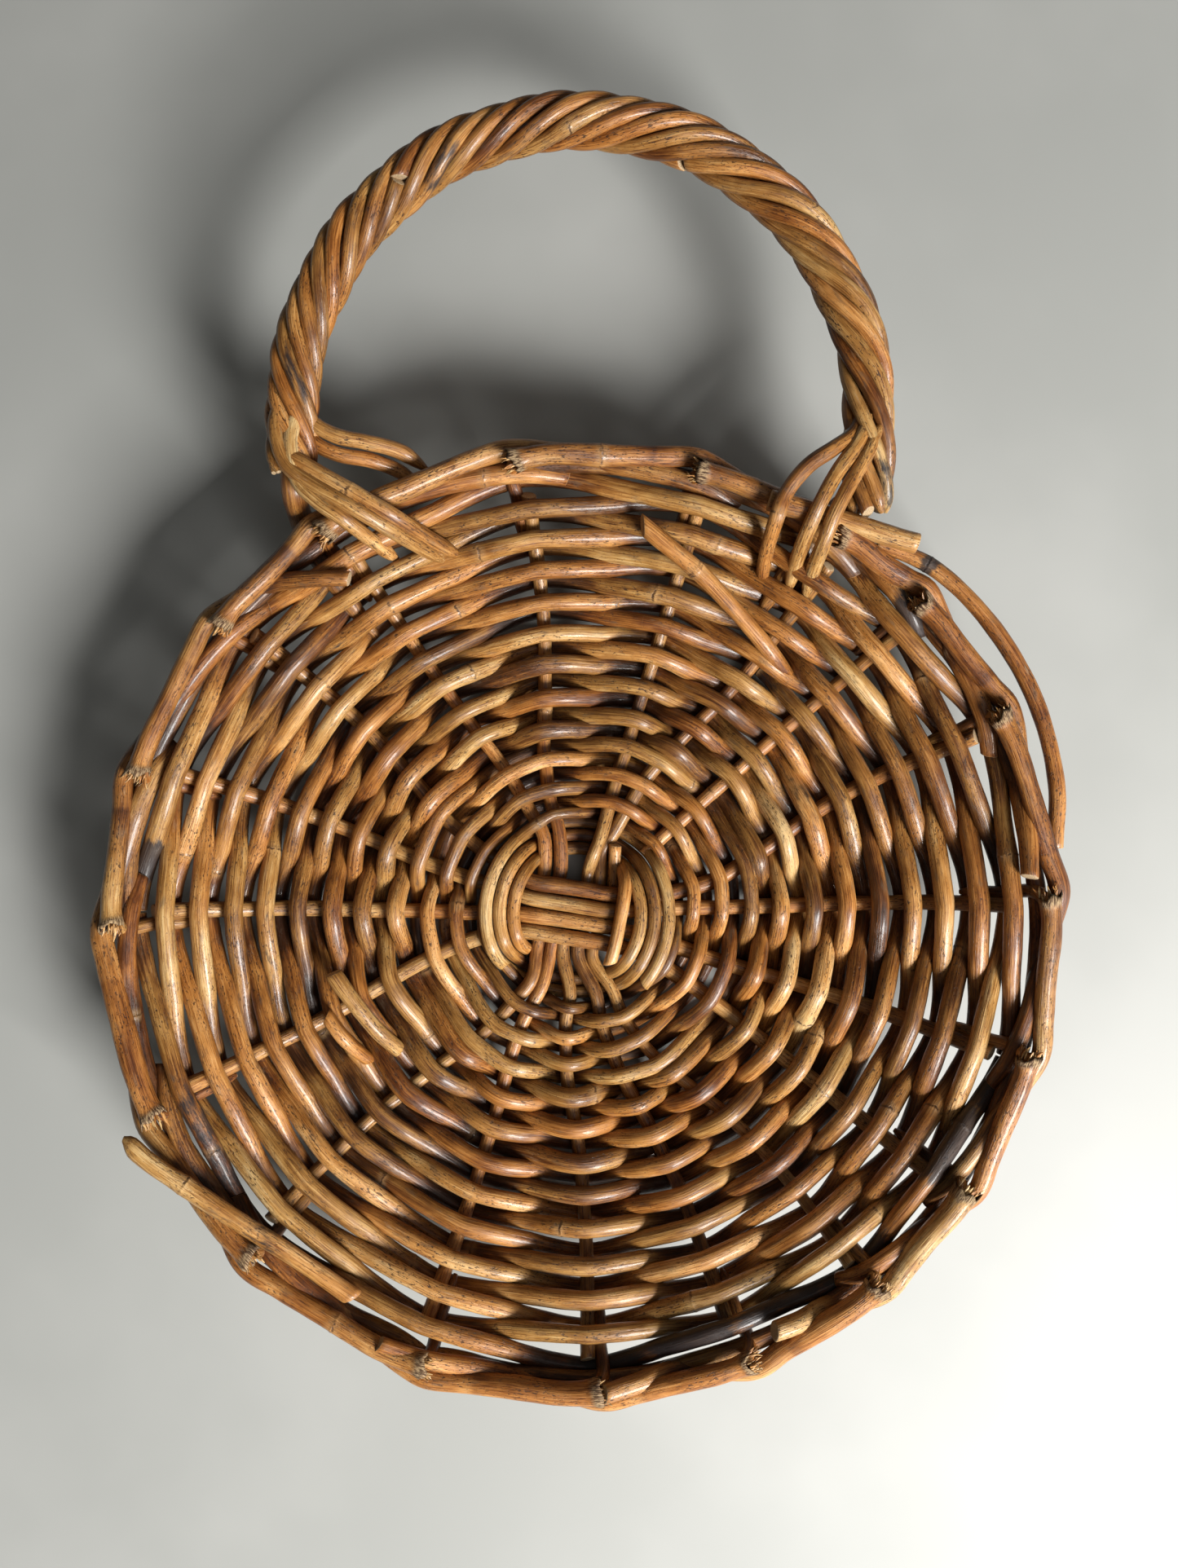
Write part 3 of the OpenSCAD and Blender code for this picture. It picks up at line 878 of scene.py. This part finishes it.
def make_binding():
    """The thin cane that ties the cross: over the level sticks and under the upright ones."""
    bundle = Bundle(90)
    r = TIE_R
    top = OVER_Z + STICK_R + r
    low = UNDER_Z - STICK_R - r + 0.3

    def out_by(turned_by):
        """The tie's radius: wider with each turn, and half a cane wider on its right side."""
        right = 0.5 - 0.5 * math.cos(math.radians(turned_by - 40))
        return TIE_INNER_R + TIE_GROWTH * turned_by / 360 + 3.5 * right

    tie = []
    for turned_by in np.arange(0, TIE_SWEEP, 3.0):
        angle = TIE_START - turned_by
        level = math.cos(2 * math.radians(angle - CROSS_TURN))
        share = 0.5 + 0.5 * math.tanh(level * 3.2)
        height = low + (top - low) * share
        x, y, z = polar(out_by(turned_by) + 1.6 * (1 - abs(level)), angle, height)
        tie.append([x + CROSS_CENTRE[0], y + CROSS_CENTRE[1], z])
    bundle.cane(softened(np.array(tie), 2), r, 0.62, step=1.6, nodes=[420], drift=0.1,
                floor=0.05, slant=0.4)
    short = [turned(20.8, -18.6, top - 0.6), turned(21.8, -10, top + 0.3),
             turned(22.3, 2, top + 0.5), turned(22.4, 12, top + 0.2),
             turned(22.0, 17.5, top - 1.8), turned(20.6, 21.5, 13.0), turned(19.6, 24.0, 7.5)]
    bundle.cane(flowing(short), r * 1.06, 0.76, step=1.4, nodes=[], floor=0.05, slant=0.5)
    return bundle.piece("cross_tie", weaver_finish, "weaver_cane", "cross_binding")


# ---------------------------------------------------------------- border

# The tone of each border rod
BORDER_TONES = [0.50, 0.47, 0.50, 0.48, 0.44, 0.40, 0.44, 0.50, 0.58, 0.60, 0.58, 0.56, 0.50,
                0.46, 0.44, 0.42, 0.46, 0.44]
# The border rods whose tail ends show: how far in the end lies, and how far round
TIPS = {6: (182.0, 0.9), 10: (181.5, 0.8), 11: (188.5, 1.0), 12: (187.0, 1.3), 18: (168.0, 1.0)}
# The border rods with a dark stain: how far along it lies, its reach and its depth
RIM_STAINS = {4: [(120, 18, 1.0)], 17: [(85, 20, 0.5)]}


def knuckle_angle(i):
    """The direction of a stake's bend, beside its spoke."""
    return SPOKES[i] + math.degrees(math.asin(STAKE_SIDE / KNUCKLE_R))


def frayed_end(bundle, at, along, width, many=26):
    """A brush of torn fibres round the broken end of a rod, pointing along."""
    dice = bundle.dice
    along = along / np.linalg.norm(along)
    side = np.cross(along, [0, 0, 1.0])
    side /= np.linalg.norm(side)
    up = np.cross(side, along)
    for i in range(many):
        turn = 2 * math.pi * (i + dice.uniform(-0.3, 0.3)) / many
        out = math.cos(turn) * side + math.sin(turn) * up
        reach = dice.uniform(1.6, 5.4)
        root = at - along * dice.uniform(1.5, 4.0) + out * width * dice.uniform(0.62, 0.98)
        spread = dice.uniform(-0.25, 0.45)
        curl = dice.uniform(-0.5, 0.5)
        knees = [root]
        for step in (0.35, 0.7, 1.0):
            knees.append(root + along * reach * step + out * reach * spread * step ** 2
                         + side * reach * curl * step ** 2 * 0.5)
        bundle.cane(flowing(knees, 4), dice.uniform(0.28, 0.7), dice.uniform(0.5, 0.95), sides=5,
                    step=1.6, taper=(0, reach * 0.6), nodes=[], uneven=0, cut=(False, False))


def make_stake(n):
    """A side stake, its frayed bend at the knuckle, its run round the rim and its tucked tail."""
    bundle = Bundle(200 + n)
    dice = bundle.dice
    many = len(SPOKES)
    own, after, later = n - 1, n % many, (n + 1) % many
    a0 = knuckle_angle(own)
    gap1 = clockwise(SPOKES[own], SPOKES[after])
    gap2 = clockwise(SPOKES[after], SPOKES[later])
    a1 = a0 - gap1
    tone = BORDER_TONES[own] + dice.uniform(-0.04, 0.04)
    lift = dice.uniform(-0.8, 0.8)
    knuckle = np.array(polar(KNUCKLE_R, a0, KNUCKLE_Z + lift))

    stem = [dish_point(SPOKES[own], s, STAKE_SIDE - 1.4, -1.6) for s in (166, 172, 178, 185)]
    stem += [polar(KNUCKLE_R - 3.5, a0, 52), polar(KNUCKLE_R - 1.2, a0 - 0.4, 58.5),
             polar(KNUCKLE_R - 0.2, a0 - 1.8, 62.3 + lift)]
    bundle.cane(flowing(stem), STAKE_R, tone - 0.05, sides=14, taper=(10, 0), drift=0.05)

    fat = BORDER_R * dice.uniform(0.93, 1.03)
    run = [knuckle,
           polar(KNUCKLE_R + 0.6, a0 - gap1 * 0.22, KNUCKLE_Z - 0.7 + lift),
           polar(KNUCKLE_R + 1.2, a0 - gap1 * 0.52, KNUCKLE_Z - 2.9 + lift * 0.5),
           polar(KNUCKLE_R + 3.9, a0 - gap1 * 0.8, PASSING_Z + 1.2),
           polar(PASSING_R, a1, PASSING_Z),
           polar(PASSING_R - 2.2, a1 - gap2 * 0.22, PASSING_Z - 3.4)]
    if n in TIPS:
        tip_r, share = TIPS[n]
        run += [polar(188.0, a1 - gap2 * 0.48 * share, 53.6),
                polar(188.0 + (tip_r - 188.0) * 0.6, a1 - gap2 * 0.78 * share, 60.0),
                polar(tip_r, a1 - gap2 * share, 65.0 - (188.0 - tip_r) * 0.25)]
    else:
        run += [polar(189.6, a1 - gap2 * 0.45, 53.4), polar(186.9, a1 - gap2 * 0.80, 55.2),
                polar(185.0, a1 - gap2 * 1.08, 53.5), polar(183.4, a1 - gap2 * 1.28, 48.5)]
    path = flowing(wander(run, dice, 0.35))
    stains_and_shade = RIM_STAINS.get(n, [])
    bundle.cane(path, fat, tone, sides=20, step=2.0, torn=2.4, flare=0.24, stains_and_shade=stains_and_shade,
                drift=0.08, squash=0.05, slant=0.25, taper=(0, 70), narrow=0.8)
    heading = path[0] - path[6]
    frayed_end(bundle, knuckle, heading, fat)
    for extra in STAKE_EXTRAS.get(n, []):
        extra(bundle)
    return bundle.piece(f"rim_stake_{n}", border_finish, "border_cane", f"side_stake_{n}")


def long_loose_rod(bundle):
    """A rod that has sprung away outside the rim."""
    points = [polar(196, 52, 60), polar(203.2, 45, 60), polar(206.2, 36, 59), polar(206.0, 26, 58),
              polar(202, 16, 57), polar(196.5, 9, 55)]
    bundle.cane(flowing(points), 3.4, 0.50, nodes=[22], stains_and_shade=[(22, 4, 0.7)], drift=0.06)


def outer_cut_rod(bundle):
    """A short rod whose pale cut end points outwards at the rim."""
    points = [polar(186, 66, 66.5), polar(192, 58, 66), polar(199, 51.5, 66),
              polar(203.5, 48.6, 66)]
    bundle.cane(flowing(points), 4.2, 0.55, nodes=[])


STAKE_EXTRAS = {6: [long_loose_rod], 4: [outer_cut_rod]}


# ---------------------------------------------------------------- handle

def in_handle(p):
    """From the handle's own frame, with its loop flat, into the basket."""
    x, y, z = p
    a = math.radians(HANDLE_TILT)
    y += LEG
    return [x, ROPE_END_Y + y * math.cos(a) - z * math.sin(a),
            LEG_Z + y * math.sin(a) + z * math.cos(a)]


def handle_line():
    """The rope's middle line in the handle's frame, from the left foot over the crown."""
    line = [[-HANDLE_R, y, 0] for y in np.linspace(-LEG + 1, -1.5, 20)]
    line += [[-HANDLE_R * math.cos(a), HANDLE_R * math.sin(a), 0]
             for a in np.linspace(0, math.pi, 240)]
    line += [[HANDLE_R, y, 0] for y in np.linspace(-1.5, -LEG - 6, 24)]
    return np.array(line)


def rope_strand(k, start, stop):
    """A strand of the rope, from one length along the handle to another."""
    line = handle_line()
    total = lengths(line)[-1]
    s = np.linspace(start, total - stop, 420)
    middle = at_lengths(line, s)
    t = np.gradient(middle, axis=0)
    t /= np.linalg.norm(t, axis=1)[:, None]
    up = np.array([0.0, 0, 1])
    out = np.cross(up, t)
    share = s / total
    lay = 80 + 28 * share
    turn = 2 * math.pi * (k / STRANDS + 0.03) - np.cumsum(np.gradient(s) / lay) * 2 * math.pi
    away = STRAND_OUT + 0.35 * np.sin(s / 17 + k)
    path = middle + (np.cos(turn) * away)[:, None] * out + (np.sin(turn) * away)[:, None] * up
    return np.array([in_handle(p) for p in path])


# The tone of each rod of the rope
ROPE_TONES = [0.54, 0.44, 0.38, 0.58, 0.46, 0.40, 0.50]
# The rods of the rope that are made of two lengths, end to end
JOINED_RODS = (2, 5)


def make_rope():
    """The twisted rods of the handle."""
    bundle = Bundle(300)
    dice = bundle.dice
    for k, tone in enumerate(ROPE_TONES):
        path = rope_strand(k, 7 + dice.uniform(0, 5), dice.uniform(0, 4))
        total = lengths(path)[-1]
        cutting = dice.uniform(0.3, 0.7) * total
        stains_and_shade = [(dice.uniform(0, total), 14, 0.6)]
        if k in JOINED_RODS:
            for a, b in ((0, cutting - 0.7), (cutting + 0.7, total)):
                run = at_lengths(path, np.linspace(a, b, int((b - a) / 1.5)))
                bundle.cane(run, STRAND_R, tone, sides=14, step=2.2, drift=0.1, slant=0.5,
                            stains_and_shade=stains_and_shade)
        else:
            bundle.cane(path, STRAND_R, tone, sides=14, step=2.2, drift=0.1, stains_and_shade=stains_and_shade,
                        taper=(8, 8))
    bundle.piece("handle_rope", handle_finish, "handle_cane", "handle_wrap")


def make_core():
    """The thick rod inside the rope, whose ends go down into the weave."""
    core = Bundle(310)
    ends = []
    for side in (0, 1):
        angle = FEET[side]
        ends.append([
            at_spoke(angle, 203, TAIL_SIDE - 2.4, DIVE_Z + 1.5),
            at_spoke(angle, KNUCKLE_R + 1, TAIL_SIDE, DIVE_Z),
            dish_point(angle, EDGE_S - 6, TAIL_SIDE - 0.5, -0.5),
            dish_point(angle, 172, TAIL_SIDE, 0.0),
            dish_point(angle, 152, TAIL_SIDE - 1, 0.0),
        ])
    legs = [[in_handle([x, y, 0]) for y in (-LEG + 4, -LEG + 14, -6)]
            for x in (-HANDLE_R, HANDLE_R)]
    arch = [in_handle([-HANDLE_R * math.cos(a), HANDLE_R * math.sin(a), 0])
            for a in np.linspace(0.08, math.pi - 0.08, 24)]
    points = ends[0][::-1] + legs[0] + arch + legs[1][::-1] + ends[1]
    # The core is given a darker tone than the rope's rods: painted shade in the grooves between
    # them
    core.cane(flowing(points), CORE_R, 0.34, sides=18, step=2.4, taper=(46, 46), drift=0.06)
    core.piece("handle_core", handle_finish, "handle_cane", "handle_bow")


# The strands that leave the rope, pass over the border and tuck into the weave
FOOT_STRANDS = {
    "left_1": [[-123, 214, 66], [-122.5, 201, 68.5], [-117.5, 189, 71], [-104, 180, 72.5],
               [-90, 172, 72.5], on_weave(-75, 163.8, 17.5), on_weave(-61, 157, 11),
               on_weave(-51, 153, 3)],
    "left_2": [[-119, 212, 70], [-120.5, 197, 71.5], [-116, 182.5, 72], [-104, 173.5, 73],
               [-92, 166.8, 73], on_weave(-80, 160.3, 17.5), on_weave(-67.5, 154.8, 11),
               on_weave(-58, 151, 3)],
    "left_3": [[-111, 210, 69], [-114.5, 194, 71.5], [-112, 177, 71.5], [-104, 168.5, 72],
               [-95, 162.2, 71.5], on_weave(-85, 155.5, 13), on_weave(-77, 150.5, 3)],
    "right_1": [[112, 206, 66], [108.5, 196, 70], [99.5, 188.5, 74], [89.5, 181.5, 75],
                [81, 171, 73.5], [77.6, 161.5, 71], on_weave(76.3, 150.5, 11),
                on_weave(76.6, 141, 3)],
    "right_2": [[115, 203, 70], [109.5, 191, 72.5], [101, 179, 74], [94.2, 166.5, 73],
                on_weave(90.3, 156, 16.5), on_weave(88.5, 147.5, 10.5), on_weave(87.6, 138.5, 3)],
    "right_3": [[119, 199, 71], [112.5, 185.5, 73], [105.5, 173.5, 73.5], [100.2, 162.5, 72],
                on_weave(97, 152.5, 16.5), on_weave(95.3, 143.8, 10.5), on_weave(94.4, 135, 3)],
}
# Two more strands that the left foot sends round outside the rim
OUTSIDE = [
    [[-111, 213, 63], [-108, 202.5, 64], [-99, 197, 63], [-87, 195, 60.5], [-74, 192.5, 56],
     [-64, 187, 50]],
    [[-112, 206, 60], [-108, 195, 61.5], [-98, 190, 60], [-86, 188.6, 57], [-75, 185.5, 51.5],
     [-66, 180, 47]],
]


def make_lashing(side, n):
    """A strand of the rope that passes over the border and tucks into the weave."""
    bundle = Bundle(320 + side * 10 + n)
    name = "left" if side == 0 else "right"
    bundle.cane(flowing(FOOT_STRANDS[f"{name}_{n}"]), STRAND_R * 1.04, 0.44 + 0.09 * (n - 1),
                sides=16, step=1.8, taper=(14, 12), drift=0.06, nodes=[58] if n == 1 else [])
    if side == 0 and n == 1:
        for k, points in enumerate(OUTSIDE):
            bundle.cane(flowing(points), STRAND_R * 1.05, 0.56 - 0.1 * k, sides=16, step=1.8,
                        taper=(14, 12), nodes=[])
    return bundle.piece(f"{name}_strand_{n}", handle_finish, "handle_cane", f"{name}_lashing_{n}")


# ---------------------------------------------------------------- table, light and camera

def make_studio():
    """The table, the room's light, the window, the ceiling and the camera."""
    bpy.ops.object.select_all(action="DESELECT")
    bpy.ops.mesh.primitive_plane_add(size=TABLE_WIDTH, location=(0, 0, 0))
    table = bpy.context.object
    table.name = "table_top"
    table.data.materials.append(pale_floor())

    world = bpy.data.worlds.new("room")
    bpy.context.scene.world = world
    world.use_nodes = True
    world.node_tree.nodes["Background"].inputs[0].default_value = ROOM_COLOUR
    world.node_tree.nodes["Background"].inputs[1].default_value = ROOM_LIGHT
    bpy.context.scene.view_settings.view_transform = "Standard"

    for name, (place, size, watts, colour) in LIGHTS.items():
        data = bpy.data.lights.new(name, "AREA")
        data.shape = "SQUARE"
        data.size = size
        data.energy = watts
        data.color = colour
        light = bpy.data.objects.new(name, data)
        light.location = place
        aim = Vector(LIT_PLACE) - Vector(place)
        light.rotation_euler = aim.to_track_quat("-Z", "Y").to_euler()
        bpy.context.scene.collection.objects.link(light)

    data = bpy.data.cameras.new("overhead")
    data.sensor_width = CAMERA_FILM
    data.lens = CAMERA_LENS
    camera = bpy.data.objects.new("overhead", data)
    camera.location = CAMERA_PLACE
    camera.rotation_euler = (0, 0, 0)
    bpy.context.scene.collection.objects.link(camera)
    bpy.context.scene.camera = camera


# ---------------------------------------------------------------- the basket

make_studio()
spoke_finish = varnished_cane("spoke_cane_finish", warmth=0.4, gloss=0.42)
weaver_finish = varnished_cane("weaver_cane_finish", warmth=0.6, gloss=0.40)
border_finish = varnished_cane("border_cane_finish", warmth=0.4, gloss=0.42)
handle_finish = varnished_cane("handle_cane_finish", warmth=0.4, gloss=0.38)
make_spokes()
make_binding()
for number in range(1, ROUNDS + 1):
    make_round(number)
for number in range(1, len(SPOKES) + 1):
    make_stake(number)
make_rope()
make_core()
for foot in (0, 1):
    for number in (1, 2, 3):
        make_lashing(foot, number)
